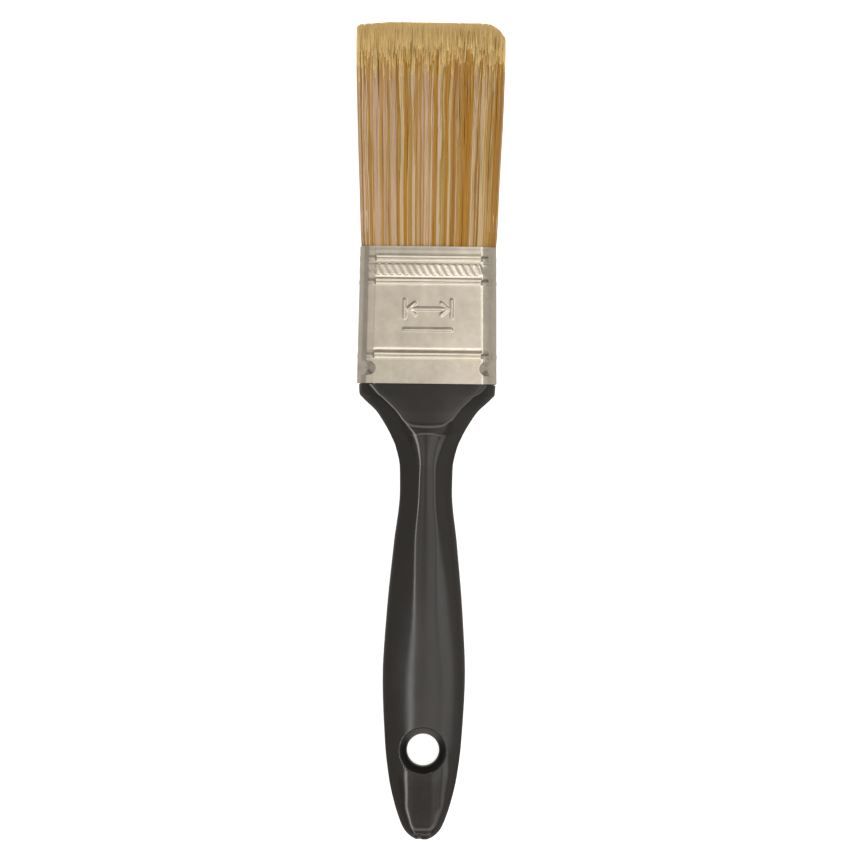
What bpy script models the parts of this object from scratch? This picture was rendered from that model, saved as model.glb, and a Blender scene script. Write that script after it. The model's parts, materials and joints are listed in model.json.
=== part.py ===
"""A flat 38 mm paint brush with a moulded handle, lying on its back.

Metres, +Z up. The brush points along +Y, its width runs along X and its front faces +Z.
Every shape is drawn in the brush's own coordinates: Y is the distance from the tip of the
tail and Z the height from the middle of its thickness.
"""

import math

import bmesh
import bpy
import numpy as np
from mathutils import Vector

MM = 0.001

# Along the brush, from the tip of the tail.
HANG_HOLE = 25.2 * MM
SHOULDER = 127.8 * MM  # the ledge that the ferrule stands on
FERRULE_FOOT = 128.1 * MM
DENTS = 132.4 * MM
TANG_TOP = 141.0 * MM
EPOXY = (141.3 * MM, 147.0 * MM)
FILAMENT_FOOT = 147.3 * MM
PLUG = (147.3 * MM, 161.8 * MM)
MOUTH = 166.5 * MM  # the ferrule's open end
FLEX_AXIS = 169.5 * MM  # the filaments bend about a line just above the mouth
LENGTH = 230.0 * MM

# Ferrule: a rounded rectangle of thin sheet, a little wider at its foot.
FERRULE_HALF_THICKNESS = 6.8 * MM
FERRULE_HALF_WIDTHS = (19.5 * MM, 18.95 * MM)  # foot, mouth
CORNER = 4.0 * MM
CORNER_POINTS = 6
SHEET = 0.3 * MM
GAP = 0.3 * MM  # between two pieces that touch on the real brush
BEADS = (163.0 * MM, 156.4 * MM, 135.8 * MM)
BEAD_HALF_WIDTH = 1.0 * MM
BEAD_STEPS = (-1, -0.6, 0, 0.6, 1)  # rows of points across a bead, in half widths
BEAD_HEIGHT = 0.45 * MM
SIDE_RELIEF = 0.25  # share of a bead's height left on the narrow sides
ROPE_BAND = (158.4 * MM, 161.6 * MM)
ROPE_STEPS = (-0.2 * MM, 0.1 * MM)  # the two rows of points at each of its edges
ROPE_HEIGHT = 0.25 * MM
DENT_DEPTH = 1.3 * MM
DENT_REACH = 3.0 * MM  # from the corner, round the section
DENT_HALF_LENGTH = 1.7 * MM
DENT_STEPS = (-1, -0.5, 0, 0.5, 1)  # rows of points along a dent, in half lengths
DENT_INSET = 1.2 * MM  # its middle, in from the corner that the faces would meet at
DENT_PUSH = (0.6, 0.8)  # share of the depth across the width and through the thickness
SEAM_HALF_WIDTH = 1.6 * MM
SEAM_HEIGHT = 0.3 * MM  # the outer lap of the sheet
SEAM_EDGE = 0.15 * MM  # the lap's height is lost over this width
PLAIN_PANEL = (145.0 * MM, 151.0 * MM)  # two rows of points on the ferrule's plain part

# Everything rests on the beads of the back face.
MIDDLE_HEIGHT = FERRULE_HALF_THICKNESS + BEAD_HEIGHT

# Handle outline, in millimetres: distance, half width, height of the front edge lines,
# half distance between them, crown of the strip between them, and the slope beside them.
HANDLE_STATIONS = (
    (0.0, 1.7, 1.5, 0.9, 0.0, 30),
    (0.8, 3.1, 2.2, 1.7, 0.0, 30),
    (2.1, 4.5, 2.9, 2.6, 0.0, 30),
    (5.5, 6.35, 3.44, 4.3, 0.0, 33),
    (10.6, 8.0, 3.78, 5.6, 0.0, 33),
    (17.3, 9.5, 4.2, 5.7, 0.0, 26),
    (27.4, 10.7, 4.6, 4.4, 0.25, 18),
    (46.0, 11.55, 5.6, 3.9, 0.22, 13),
    (62.9, 10.7, 5.9, 3.2, 0.2, 15),
    (83.2, 8.85, 5.5, 3.15, 0.2, 20),
    (98.0, 7.3, 5.0, 2.35, 0.16, 25),
    (104.4, 7.4, 5.0, 2.4, 0.1, 27),
    (110.2, 8.6, 5.42, 3.5, -0.05, 27),
    (112.2, 9.4, 5.62, 4.1, -0.15, 27),
    (114.2, 10.35, 5.95, 4.8, -0.25, 27),
    (116.6, 11.7, 6.3, 6.0, 0.05, 27),
    (120.3, 14.2, 6.4, 8.8, 0.1, 27),
    (123.7, 17.75, 6.45, 12.3, 0.1, 27),
    (125.2, 19.0, 6.5, 13.9, 0.05, 20),
    (127.8, 19.2, 6.5, 15.4, 0.0, 6),
)
# Rows of points along it, in millimetres: those of the tail's tip, and then spans of
# start, end and count.
TAIL_ROWS = (0, 0.4, 0.8, 1.4, 2.1, 3.0, 4.1)
HANDLE_SPANS = ((5.5, 20, 7), (23, 105, 26), (107, 114.2, 5), (115.0, 127.8, 12))
STRIP_SHARES = (0, 0.35, 0.7, 0.9)  # points across the front, up to the line or the corner
HANDLE_EDGE = (1.6 * MM, 2.6 * MM)  # half height of the narrow side: neck, shoulder
HANDLE_EDGE_LIMIT = 0.4  # the most it may take of the edge line's height
FLANK_POINTS = 8
NECK_END = 105.0 * MM
HOLE_RADIUS = 4.5 * MM
HOLE_SEGMENTS = 40
RIM_RADIUS = 6.6 * MM  # at the handle's surface, this high
RIM_SURFACE = 4.7 * MM
RIM_FOOT = 1.6 * MM  # height where the countersink meets the bore
RIM_TOP = 9.0 * MM  # the countersink's cutter, clear of the handle

# Filament pack: twelve tufts, six across and two deep.
COLUMNS = 6
PACK_HALF_WIDTHS = (18.35 * MM, 20.95 * MM)  # mouth, near the tips
PACK_FULL_WIDTH = 0.88  # share of the free length where the pack is at its widest
PACK_SPREAD = 0.8  # power of the distance; below 1 the pack spreads most near the mouth
PACK_HALF_THICKNESSES = (6.15 * MM, 7.1 * MM, 3.3 * MM)  # mouth, pull at mid length, tips
PACK_CORNER = 2.6 * MM
PACK_CORNER_LIMIT = 0.6  # the most it may take of the half thickness
FREE_TUFT_SLICES = (3, 9, 5)  # across, along and through
ROOT_TUFT_SLICES = (3, 2, 5)
TIP_CHISEL = 3.0 * MM  # how far the outer filaments of a row stop below the middle ones
TIP_SHOULDER = 2.6 * MM  # how far the outermost filaments stop below the middle ones
TIP_SHOULDER_POWER = 7
FLEX_RADIUS = 6.15 * MM
FLEX_HALF_WIDTH = 17.3 * MM  # the turning feet, narrow enough for the ferrule's corners
PLUG_SIZE = (23.4 * MM, 3.4 * MM)  # width, thickness
PLUG_ROUNDING = 0.5 * MM
AXIS_MARK = 10 * MM  # drawn size of the two frames

HANDLE_BLACK = (0.020, 0.019, 0.018, 1.0)
PLATED_STEEL = (0.62, 0.58, 0.50, 1.0)
PLUG_GREY = (0.45, 0.44, 0.42, 1.0)
EPOXY_AMBER = (0.30, 0.19, 0.07, 1.0)
FILAMENT_GOLD = (0.48, 0.27, 0.06, 1.0)
FILAMENT_WHITE = (0.62, 0.50, 0.38, 1.0)


def clear_scene():
    for thing in list(bpy.data.objects):
        bpy.data.objects.remove(thing, do_unlink=True)


def material(name, colour, roughness, metallic=0.0):
    made = bpy.data.materials.new(name)
    made.use_nodes = True
    shader = made.node_tree.nodes["Principled BSDF"]
    shader.inputs["Base Color"].default_value = colour
    shader.inputs["Roughness"].default_value = roughness
    shader.inputs["Metallic"].default_value = metallic
    made.diffuse_color = colour
    return made


def empty(name, location, parent=None):
    made = bpy.data.objects.new(name, None)
    made.empty_display_size = AXIS_MARK
    made.location = location
    made.parent = parent
    bpy.context.scene.collection.objects.link(made)
    return made


def add(name, shape, finish, parent, origin=(0, 0, 0)):
    """An object from a bmesh drawn in the brush's coordinates. The origin is its parent's place there."""
    bmesh.ops.translate(shape, vec=-Vector(origin), verts=shape.verts)
    bmesh.ops.recalc_face_normals(shape, faces=shape.faces)
    mesh = bpy.data.meshes.new(name)
    shape.to_mesh(mesh)
    shape.free()
    mesh.materials.append(finish)
    made = bpy.data.objects.new(name, mesh)
    made.parent = parent
    bpy.context.scene.collection.objects.link(made)
    return made


def cutter(name, shape, parent):
    """A closed mesh that only a Boolean uses."""
    made = add(name, shape, bpy.data.materials.new(name), parent)
    made.hide_render = True
    made.display_type = "WIRE"
    return made


def cut(target, tool):
    boolean = target.modifiers.new(tool.name, "BOOLEAN")
    boolean.object = tool
    boolean.operation = "DIFFERENCE"
    boolean.solver = "EXACT"


def smooth(at, knots, values):
    """A cubic through the knots that never swings past them."""
    steps = np.diff(knots)
    rises = np.diff(values) / steps
    slopes = np.zeros(len(values))
    both = rises[:-1] * rises[1:]
    monotone = both > 0
    slopes[1:-1][monotone] = 2 * both[monotone] / (rises[:-1] + rises[1:])[monotone]
    slopes[0], slopes[-1] = rises[0], rises[-1]
    i = np.clip(np.searchsorted(knots, at) - 1, 0, len(steps) - 1)
    t = (at - knots[i]) / steps[i]
    return (
        values[i] * (1 + 2 * t) * (1 - t) ** 2
        + slopes[i] * steps[i] * t * (1 - t) ** 2
        + values[i + 1] * t * t * (3 - 2 * t)
        + slopes[i + 1] * steps[i] * t * t * (t - 1)
    )


def quadratic(start, pull, end, count):
    """Points along a quadratic curve, both ends included."""
    t = np.linspace(0, 1, count)[:, None]
    start, pull, end = (np.array(p, float) for p in (start, pull, end))
    return start * (1 - t) ** 2 + 2 * pull * t * (1 - t) + end * t * t


def mirrored_ring(quarter):
    """A closed ring of (x, z) from its points in the first quarter, from (0, top) to (side, 0)."""
    quarter = [tuple(p) for p in quarter]
    right = quarter + [(x, -z) for x, z in quarter[-2::-1]]
    return right + [(-x, z) for x, z in right[-2:0:-1]]


def handle_ring(half_width, line_height, line_at, crown, slope, edge):
    """The handle's section: a strip between two edge lines, and a rounded flank on each side."""
    edge = min(edge, HANDLE_EDGE_LIMIT * line_height)
    strip = [(line_at * u, line_height + crown * (1 - u * u)) for u in STRIP_SHARES]
    fall = (half_width - line_at) * math.tan(math.radians(slope))
    pull = (half_width, max(line_height - fall, edge))
    flank = quadratic((line_at, line_height), pull, (half_width, edge), FLANK_POINTS)
    return mirrored_ring([*strip, *flank, (half_width, 0)])


def ferrule_ring(half_width, half_thickness, corner=CORNER):
    """A rounded rectangle, with points at the seam's edges on its narrow sides."""
    angles = np.linspace(math.pi / 2, 0, CORNER_POINTS)
    centre = (half_width - corner, half_thickness - corner)
    arc = [
        (centre[0] + corner * math.cos(a), centre[1] + corner * math.sin(a))
        for a in angles
    ]
    flat = [(centre[0] * u, half_thickness) for u in STRIP_SHARES]
    side = [(half_width, z) for z in (SEAM_HALF_WIDTH + SEAM_EDGE, SEAM_HALF_WIDTH, 0)]
    return mirrored_ring(flat + arc + side)


def loft(rings, capped=True):
    """A skin over (distance, ring) pairs, each ring a list of (x, z)."""
    shape = bmesh.new()
    loops = [[shape.verts.new((x, y, z)) for x, z in ring] for y, ring in rings]
    count = len(loops[0])
    for near, far in zip(loops, loops[1:]):
        for i in range(count):
            j = (i + 1) % count
            shape.faces.new((near[i], near[j], far[j], far[i]))
    if capped:
        shape.faces.new(loops[0])
        shape.faces.new(loops[-1])
    return shape


def ferrule_half_width(y):
    return float(np.interp(y, (FERRULE_FOOT, MOUTH), FERRULE_HALF_WIDTHS))


def inner_ring(y):
    """The section of something that fills the ferrule, clear of the sheet by a gap."""
    inset = SHEET + GAP
    return ferrule_ring(
        ferrule_half_width(y) - inset, FERRULE_HALF_THICKNESS - inset, CORNER - inset
    )


def dent(shape):
    """Presses the four lower corners of the ferrule, and of the tang in it, inwards."""
    for vertex in shape.verts:
        x, y, z = vertex.co
        corner = Vector((ferrule_half_width(y), FERRULE_HALF_THICKNESS))
        corner -= Vector((DENT_INSET, DENT_INSET))
        around = (Vector((abs(x), abs(z))) - corner).length / DENT_REACH
        along = abs(y - DENTS) / DENT_HALF_LENGTH
        depth = DENT_DEPTH * max(0.0, 1 - along) * max(0.0, 1 - around * around)
        vertex.co.x -= math.copysign(depth * DENT_PUSH[0], x)
        vertex.co.z -= math.copysign(depth * DENT_PUSH[1], z)


def handle_shape():
    table = np.array(HANDLE_STATIONS)
    knots = table[:, 0] * MM
    spans = [np.linspace(start, end, count) for start, end, count in HANDLE_SPANS]
    rings = []
    for y in np.concatenate([TAIL_ROWS, *spans]) * MM:
        width, line_height, line_at, crown, slope = (
            float(smooth(y, knots, table[:, column])) for column in range(1, 6)
        )
        edge = float(np.interp(y, (NECK_END, SHOULDER), HANDLE_EDGE))
        rings.append(
            (y, handle_ring(width * MM, line_height * MM, line_at * MM, crown * MM, slope, edge))
        )
    dents = DENTS + np.array(DENT_STEPS) * DENT_HALF_LENGTH
    for y in (SHOULDER, *dents, TANG_TOP):
        rings.append((y, inner_ring(y)))
    shape = loft(rings)
    dent(shape)
    return shape


def cone(radius_below, radius_above, bottom, top):
    """A cone or cylinder on the hang hole's axis, between two heights."""
    shape = bmesh.new()
    bmesh.ops.create_cone(
        shape,
        cap_ends=True,
        segments=HOLE_SEGMENTS,
        radius1=radius_below,
        radius2=radius_above,
        depth=top - bottom,
    )
    bmesh.ops.translate(shape, vec=(0, HANG_HOLE, (top + bottom) / 2), verts=shape.verts)
    return shape


def make_handle(parent, finish):
    handle = add("handle", handle_shape(), finish, parent)
    bore = cone(HOLE_RADIUS, HOLE_RADIUS, -RIM_TOP, RIM_TOP)
    cut(handle, cutter("hang_bore_form", bore, parent))
    flare = (RIM_RADIUS - HOLE_RADIUS) / (RIM_SURFACE - RIM_FOOT)
    wide = HOLE_RADIUS + flare * (RIM_TOP - RIM_FOOT)
    front = cone(HOLE_RADIUS, wide, RIM_FOOT, RIM_TOP)
    cut(handle, cutter("hang_rim_form_front", front, parent))
    back = cone(wide, HOLE_RADIUS, -RIM_TOP, -RIM_FOOT)
    cut(handle, cutter("hang_rim_form_back", back, parent))


def ferrule_relief(y):
    """How far the stamped beads and the rope band stand out at this distance."""
    relief = 0.0
    for bead in BEADS:
        reach = abs(y - bead) / BEAD_HALF_WIDTH
        if reach < 1:
            relief = BEAD_HEIGHT * math.cos(reach * math.pi / 2)
    if ROPE_BAND[0] < y < ROPE_BAND[1]:
        relief = max(relief, ROPE_HEIGHT)
    return relief


def make_ferrule(parent, finish):
    bead_steps = np.array(BEAD_STEPS) * BEAD_HALF_WIDTH
    dent_steps = np.array(DENT_STEPS) * DENT_HALF_LENGTH
    rope_steps = np.array(ROPE_STEPS)
    stations = np.concatenate(
        [
            [FERRULE_FOOT, *PLAIN_PANEL, MOUTH],
            DENTS + dent_steps,
            ROPE_BAND[0] + rope_steps,
            ROPE_BAND[1] - rope_steps,
            *[bead + bead_steps for bead in BEADS],
        ]
    )
    rings = []
    for y in np.unique(np.round(stations, 7)):
        relief = ferrule_relief(y)
        ring = ferrule_ring(
            ferrule_half_width(y) + SIDE_RELIEF * relief, FERRULE_HALF_THICKNESS + relief
        )
        lap = SEAM_HALF_WIDTH + SEAM_EDGE / 2
        rings.append(
            (y, [(x - SEAM_HEIGHT if x < 0 and abs(z) < lap else x, z) for x, z in ring])
        )
    shape = loft(rings, capped=False)
    dent(shape)
    ferrule = add("ferrule", shape, finish, parent)
    wall = ferrule.modifiers.new("sheet", "SOLIDIFY")
    wall.thickness = SHEET
    wall.offset = -1


def divided_box(cuts):
    """A unit cube from 0 to 1, cut into this many slices along X, Y and Z."""
    shape = bmesh.new()
    bmesh.ops.create_cube(shape, size=1)
    bmesh.ops.translate(shape, vec=(0.5, 0.5, 0.5), verts=shape.verts)
    for axis, slices in enumerate(cuts):
        normal = Vector([axis == i for i in range(3)])
        for step in range(1, slices):
            bmesh.ops.bisect_plane(
                shape,
                geom=shape.verts[:] + shape.edges[:] + shape.faces[:],
                plane_co=normal * step / slices,
                plane_no=normal,
            )
    return shape


def pack_half_width(y):
    mouth, tips = PACK_HALF_WIDTHS
    along = max(0.0, (y - MOUTH) / (LENGTH - MOUTH))
    return mouth + (tips - mouth) * min(1.0, along / PACK_FULL_WIDTH) ** PACK_SPREAD


def pack_half_thickness(y):
    mouth, pull, tips = PACK_HALF_THICKNESSES
    along = max(0.0, (y - MOUTH) / (LENGTH - MOUTH))
    return mouth * (1 - along) ** 2 + 2 * pull * along * (1 - along) + tips * along**2


def pack_surface(across, y):
    """The pack's half thickness at this share of its half width, with rounded corners."""
    half_thickness = pack_half_thickness(y)
    corner = min(PACK_CORNER, PACK_CORNER_LIMIT * half_thickness)
    inside = max(0.0, abs(across) * pack_half_width(y) - (pack_half_width(y) - corner))
    return half_thickness - corner + math.sqrt(max(0.0, corner**2 - inside**2))


def under_flex_cylinder(height, radius):
    """Distance of the round joint face under the flex axis, at this height from the middle."""
    return FLEX_AXIS - math.sqrt(max(0.0, radius**2 - height**2))


def column_edges(column):
    """The two sides of a column of tufts, as shares of the pack's half width."""
    return (-1 + 2 * column / COLUMNS, -1 + 2 * (column + 1) / COLUMNS)


def across_tuft(column, u, half_width):
    """X at the share u of a tuft's width, clear of the tufts beside it."""
    left, right = (edge * half_width for edge in column_edges(column))
    left += GAP / 2 if column > 0 else 0
    right -= GAP / 2 if column < COLUMNS - 1 else 0
    return left + (right - left) * u


def free_tuft_shape(column, row):
    shape = divided_box(FREE_TUFT_SLICES)
    for vertex in shape.verts:
        u, s, f = vertex.co
        inner = GAP / 2
        share = across_tuft(column, u, PACK_HALF_WIDTHS[0]) / PACK_HALF_WIDTHS[0]
        foot_height = inner + f * (pack_surface(share, MOUTH) - inner)
        foot = under_flex_cylinder(foot_height, FLEX_RADIUS)
        tip = LENGTH - TIP_CHISEL * f**2 - TIP_SHOULDER * abs(share) ** TIP_SHOULDER_POWER
        y = foot + s * (tip - foot)
        x = across_tuft(column, u, pack_half_width(y) if s > 0 else FLEX_HALF_WIDTH)
        z = inner + f * (pack_surface(share, y) - inner)
        vertex.co = (x, y, row * z)
    return shape


def root_tuft_shape(column, row):
    beside_plug = 0 < column < COLUMNS - 1
    inner = PLUG_SIZE[1] / 2 + GAP if beside_plug else GAP / 2
    shape = divided_box(ROOT_TUFT_SLICES)
    for vertex in shape.verts:
        u, s, f = vertex.co
        half_width = ferrule_half_width(MOUTH) - SHEET - GAP
        x = across_tuft(column, u, half_width)
        share = x / half_width
        z = inner + f * (pack_surface(share, MOUTH) - inner)
        top = min(under_flex_cylinder(z, FLEX_RADIUS + GAP), MOUTH)
        vertex.co = (x, FILAMENT_FOOT + s * (top - FILAMENT_FOOT), row * z)
    return shape


def make_tufts(brush, flex, gold, white):
    for row_name, row in (("front", 1), ("back", -1)):
        for column in range(COLUMNS):
            finish = (white, gold)[(column + (row < 0)) % 2]
            number = column + 1
            root = root_tuft_shape(column, row)
            add(f"tuft_foot_{row_name}_{number}", root, finish, brush)
            free = free_tuft_shape(column, row)
            add(f"tuft_{row_name}_{number}", free, finish, flex, origin=flex.location)


def make_plug(parent, finish):
    shape = bmesh.new()
    bmesh.ops.create_cube(shape, size=1)
    size = (PLUG_SIZE[0], PLUG[1] - PLUG[0], PLUG_SIZE[1])
    bmesh.ops.scale(shape, vec=size, verts=shape.verts)
    bmesh.ops.translate(shape, vec=(0, sum(PLUG) / 2, 0), verts=shape.verts)
    plug = add("spacer_plug", shape, finish, parent)
    edges = plug.modifiers.new("edges", "BEVEL")
    edges.width = PLUG_ROUNDING
    edges.segments = 2


def make_epoxy(parent, finish):
    shape = loft([(y, inner_ring(y)) for y in EPOXY])
    add("epoxy_setting", shape, finish, parent)


def main():
    clear_scene()
    brush = empty("brush", (0, -LENGTH / 2, MIDDLE_HEIGHT))
    flex = empty("bristle_flex_axis", (0, FLEX_AXIS, 0), brush)
    make_handle(brush, material("handle_plastic", HANDLE_BLACK, 0.3))
    make_ferrule(brush, material("plated_steel", PLATED_STEEL, 0.25, metallic=1.0))
    make_plug(brush, material("plug_plastic", PLUG_GREY, 0.6))
    make_epoxy(brush, material("epoxy", EPOXY_AMBER, 0.2))
    gold = material("gold_filament", FILAMENT_GOLD, 0.4)
    white = material("white_filament", FILAMENT_WHITE, 0.4)
    make_tufts(brush, flex, gold, white)


main()
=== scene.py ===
"""The finished look of a flat 38 mm paint brush lying on its back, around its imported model.

Metres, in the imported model's frame: +Y along the brush towards the bristle tips, +X across
its width, +Z out of its front face. Shapes are drawn with Y as the distance from the tip of
the tail and Z as the height from the middle of the thickness, and moved into place at the end.
"""

import json
import math

import bmesh
import bpy
import numpy as np
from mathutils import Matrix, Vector


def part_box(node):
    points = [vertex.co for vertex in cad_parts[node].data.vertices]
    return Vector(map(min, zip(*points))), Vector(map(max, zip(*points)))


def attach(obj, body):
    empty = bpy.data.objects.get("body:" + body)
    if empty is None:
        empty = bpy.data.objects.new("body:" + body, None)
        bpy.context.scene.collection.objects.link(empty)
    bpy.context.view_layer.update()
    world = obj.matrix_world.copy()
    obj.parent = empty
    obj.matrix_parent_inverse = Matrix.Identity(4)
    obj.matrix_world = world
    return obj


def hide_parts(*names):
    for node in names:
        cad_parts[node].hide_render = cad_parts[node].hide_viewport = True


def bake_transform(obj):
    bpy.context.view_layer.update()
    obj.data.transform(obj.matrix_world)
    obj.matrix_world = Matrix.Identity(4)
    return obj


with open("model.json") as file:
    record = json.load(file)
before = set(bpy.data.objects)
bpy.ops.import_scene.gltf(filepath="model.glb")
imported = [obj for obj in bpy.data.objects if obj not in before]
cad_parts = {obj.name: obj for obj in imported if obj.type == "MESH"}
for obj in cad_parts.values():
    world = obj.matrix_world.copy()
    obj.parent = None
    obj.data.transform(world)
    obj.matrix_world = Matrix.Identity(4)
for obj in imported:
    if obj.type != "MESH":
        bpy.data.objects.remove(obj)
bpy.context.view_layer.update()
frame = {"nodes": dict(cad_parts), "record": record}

MM = 0.001
HANDLE_BODY = "handle_assembly"

# Driving places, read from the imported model.
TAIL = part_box("handle")[0].y
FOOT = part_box("ferrule")[0].y - TAIL
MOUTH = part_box("ferrule")[1].y - TAIL
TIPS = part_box("tuft_front_3")[1].y - TAIL
MIDDLE = sum(corner.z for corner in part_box("epoxy_setting")) / 2
SHOULDER_LEDGE = FOOT - 0.3 * MM


def srgb(red, green, blue):
    """A display colour from 0 to 255 as linear RGBA."""
    channels = []
    for value in (red, green, blue):
        value /= 255
        channels.append(value / 12.92 if value <= 0.04045 else ((value + 0.055) / 1.055) ** 2.4)
    return (*channels, 1.0)


def smoothstep(start, end, value):
    """0 before the start, 1 after the end, and a smooth S between them."""
    share = np.clip((np.asarray(value, float) - start) / (end - start), 0, 1)
    return share * share * (3 - 2 * share)


# ---------------------------------------------------------------- mesh helpers


def mesh_object(name, vertices, faces, materials, face_materials=None):
    """A smooth shaded object from vertices in the brush's own coordinates."""
    placed = np.array(vertices, float).reshape(-1, 3) + (0, TAIL, MIDDLE)
    mesh = bpy.data.meshes.new(name)
    mesh.from_pydata(placed.tolist(), [], faces if isinstance(faces, list) else faces.tolist())
    for material in materials:
        mesh.materials.append(material)
    if face_materials is not None:
        mesh.polygons.foreach_set("material_index", np.asarray(face_materials, np.int32))
    mesh.polygons.foreach_set("use_smooth", np.ones(len(mesh.polygons), bool))
    mesh.update()
    made = bpy.data.objects.new(name, mesh)
    bpy.context.scene.collection.objects.link(made)
    return made


def tube_faces(ring_count, ring_size):
    """Quads between rings of equal size, wound so that rings going up +Y face outwards."""
    rings = np.arange(ring_count - 1)[:, None] * ring_size
    around = np.arange(ring_size)[None, :]
    after = (around + 1) % ring_size
    quads = np.stack(
        [rings + around, rings + after, rings + ring_size + after, rings + ring_size + around],
        axis=-1,
    )
    return quads.reshape(-1, 4)


def capped_tube_faces(ring_count, ring_size):
    """The same quads, with one face over each end."""
    first_of_last = (ring_count - 1) * ring_size
    caps = [list(range(ring_size)), list(range(first_of_last, first_of_last + ring_size))]
    return tube_faces(ring_count, ring_size).tolist() + caps


def outward(obj):
    """Turns every face of a closed mesh outwards."""
    shape = bmesh.new()
    shape.from_mesh(obj.data)
    bmesh.ops.recalc_face_normals(shape, faces=shape.faces)
    shape.to_mesh(obj.data)
    shape.free()
    return obj


def apply_modifiers(obj):
    """Makes the modified shape the object's own mesh."""
    graph = bpy.context.evaluated_depsgraph_get()
    final = bpy.data.meshes.new_from_object(obj.evaluated_get(graph))
    obj.modifiers.clear()
    obj.data = final
    return obj


def quadratic(start, pull, end, shares):
    """Points at these shares along a curve that leaves the start and meets the end by the pull."""
    shares = np.asarray(shares, float)[:, None]
    start, pull, end = (np.array(point, float) for point in (start, pull, end))
    return start * (1 - shares) ** 2 + 2 * pull * shares * (1 - shares) + end * shares**2


def spaced(spans, end):
    """Even steps over each (start, end, count) in turn, up to the end."""
    return np.concatenate([*(np.linspace(*span)[:-1] for span in spans), [end]])


def mirrored_ring(quarter):
    """A closed ring of (x, z) from its first quarter, which runs from (0, top) to (side, 0)."""
    quarter = np.asarray(quarter, float)
    below = quarter[-2::-1] * (1, -1)
    right = np.concatenate([quarter, below])
    left = right[-2:0:-1] * (-1, 1)
    return np.concatenate([right, left])


def smooth_curve(at, knots, values):
    """A cubic through the knots that never swings past them."""
    steps = np.diff(knots)
    rises = np.diff(values) / steps
    slopes = np.zeros(len(values))
    both = rises[:-1] * rises[1:]
    monotone = both > 0
    slopes[1:-1][monotone] = 2 * both[monotone] / (rises[:-1] + rises[1:])[monotone]
    slopes[0], slopes[-1] = rises[0], rises[-1]
    i = np.clip(np.searchsorted(knots, at) - 1, 0, len(steps) - 1)
    t = (at - knots[i]) / steps[i]
    return (
        values[i] * (1 + 2 * t) * (1 - t) ** 2
        + slopes[i] * steps[i] * t * (1 - t) ** 2
        + values[i + 1] * t * t * (3 - 2 * t)
        + slopes[i + 1] * steps[i] * t * t * (t - 1)
    )


# ---------------------------------------------------------------- material helpers


NOISE_RANGE = (0.3, 0.7)
# A Mix node has sockets for numbers, vectors and colours under the same names.
MIX_FIRST_COLOUR = 6
MIX_SECOND_COLOUR = 7
MIX_COLOUR_RESULT = 2


class Nodes:
    """Short calls for building the node tree of one material or world."""

    def __init__(self, owner, shader="Principled BSDF", place="Object"):
        owner.use_nodes = True
        self.material = owner
        self.tree = owner.node_tree
        self.shader = self.tree.nodes[shader]
        self.place_output = place
        self.place = None  # made when it is first asked for

    def add(self, kind, **settings):
        """A new node, with values for its sockets or for its own settings."""
        node = self.tree.nodes.new(kind)
        for key, value in settings.items():
            if key in node.inputs:
                node.inputs[key].default_value = value
            else:
                setattr(node, key, value)
        return node

    def link(self, source, target):
        self.tree.links.new(source, target)

    def coordinates(self):
        if self.place is None:
            self.place = self.add("ShaderNodeTexCoord").outputs[self.place_output]
        return self.place

    def position(self, stretch=(1, 1, 1)):
        """Object space, in metres, stretched along each axis."""
        mapping = self.add("ShaderNodeMapping")
        mapping.inputs["Scale"].default_value = stretch
        self.link(self.coordinates(), mapping.inputs["Vector"])
        return mapping.outputs["Vector"]

    def noise(self, scale, detail=3.0, roughness=0.5, stretch=(1, 1, 1)):
        node = self.add("ShaderNodeTexNoise", Scale=scale, Detail=detail, Roughness=roughness)
        self.link(self.position(stretch), node.inputs["Vector"])
        return node.outputs["Fac"]

    def map_range(self, source, spans, **settings):
        """The source carried from (start, end) to (low, high), which spans gives in a row."""
        node = self.add("ShaderNodeMapRange", **settings)
        for key, value in zip(("From Min", "From Max", "To Min", "To Max"), spans):
            node.inputs[key].default_value = value
        self.link(source, node.inputs["Value"])
        return node.outputs["Result"]

    def remap(self, source, low, high):
        """A noise carried to low and high from the part of its range that it mostly uses."""
        return self.map_range(source, (*NOISE_RANGE, low, high))

    def mix_colour(self, factor, first, second):
        node = self.add("ShaderNodeMix", data_type="RGBA")
        node.inputs[MIX_FIRST_COLOUR].default_value = first
        node.inputs[MIX_SECOND_COLOUR].default_value = second
        self.link(factor, node.inputs["Factor"])
        return node.outputs[MIX_COLOUR_RESULT]

    def math(self, operation, *values):
        node = self.add("ShaderNodeMath", operation=operation)
        for socket, value in zip(node.inputs, values):
            if isinstance(value, (int, float)):
                socket.default_value = value
            else:
                self.link(value, socket)
        return node.outputs["Value"]

    def curve(self, source, points):
        """Smooth steps through (place, value) points."""
        total = None
        for (start, before), (end, after) in zip(points, points[1:]):
            if before == after:
                continue
            spans = (start, end, 0.0, after - before)
            step = self.map_range(source, spans, interpolation_type="SMOOTHSTEP")
            total = step if total is None else self.math("ADD", total, step)
        return self.math("ADD", total, points[0][1])

    def bump(self, heights, distance):
        node = self.add("ShaderNodeBump", Strength=1.0, Distance=distance)
        self.link(heights, node.inputs["Height"])
        return node.outputs["Normal"]

    def set(self, **values):
        for key, value in values.items():
            self.shader.inputs[key.replace("_", " ")].default_value = value

    def drive(self, socket, source):
        self.link(source, self.shader.inputs[socket])


# Roughness of the handle against Y: the belly is duller than the neck and the tail.
HANDLE_WEAR = (
    (-0.100, 0.12),
    (-0.080, 0.24),
    (-0.060, 0.24),
    (-0.035, 0.16),
    (-0.015, 0.10),
)


def new_material(name):
    return Nodes(bpy.data.materials.new(name))


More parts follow.
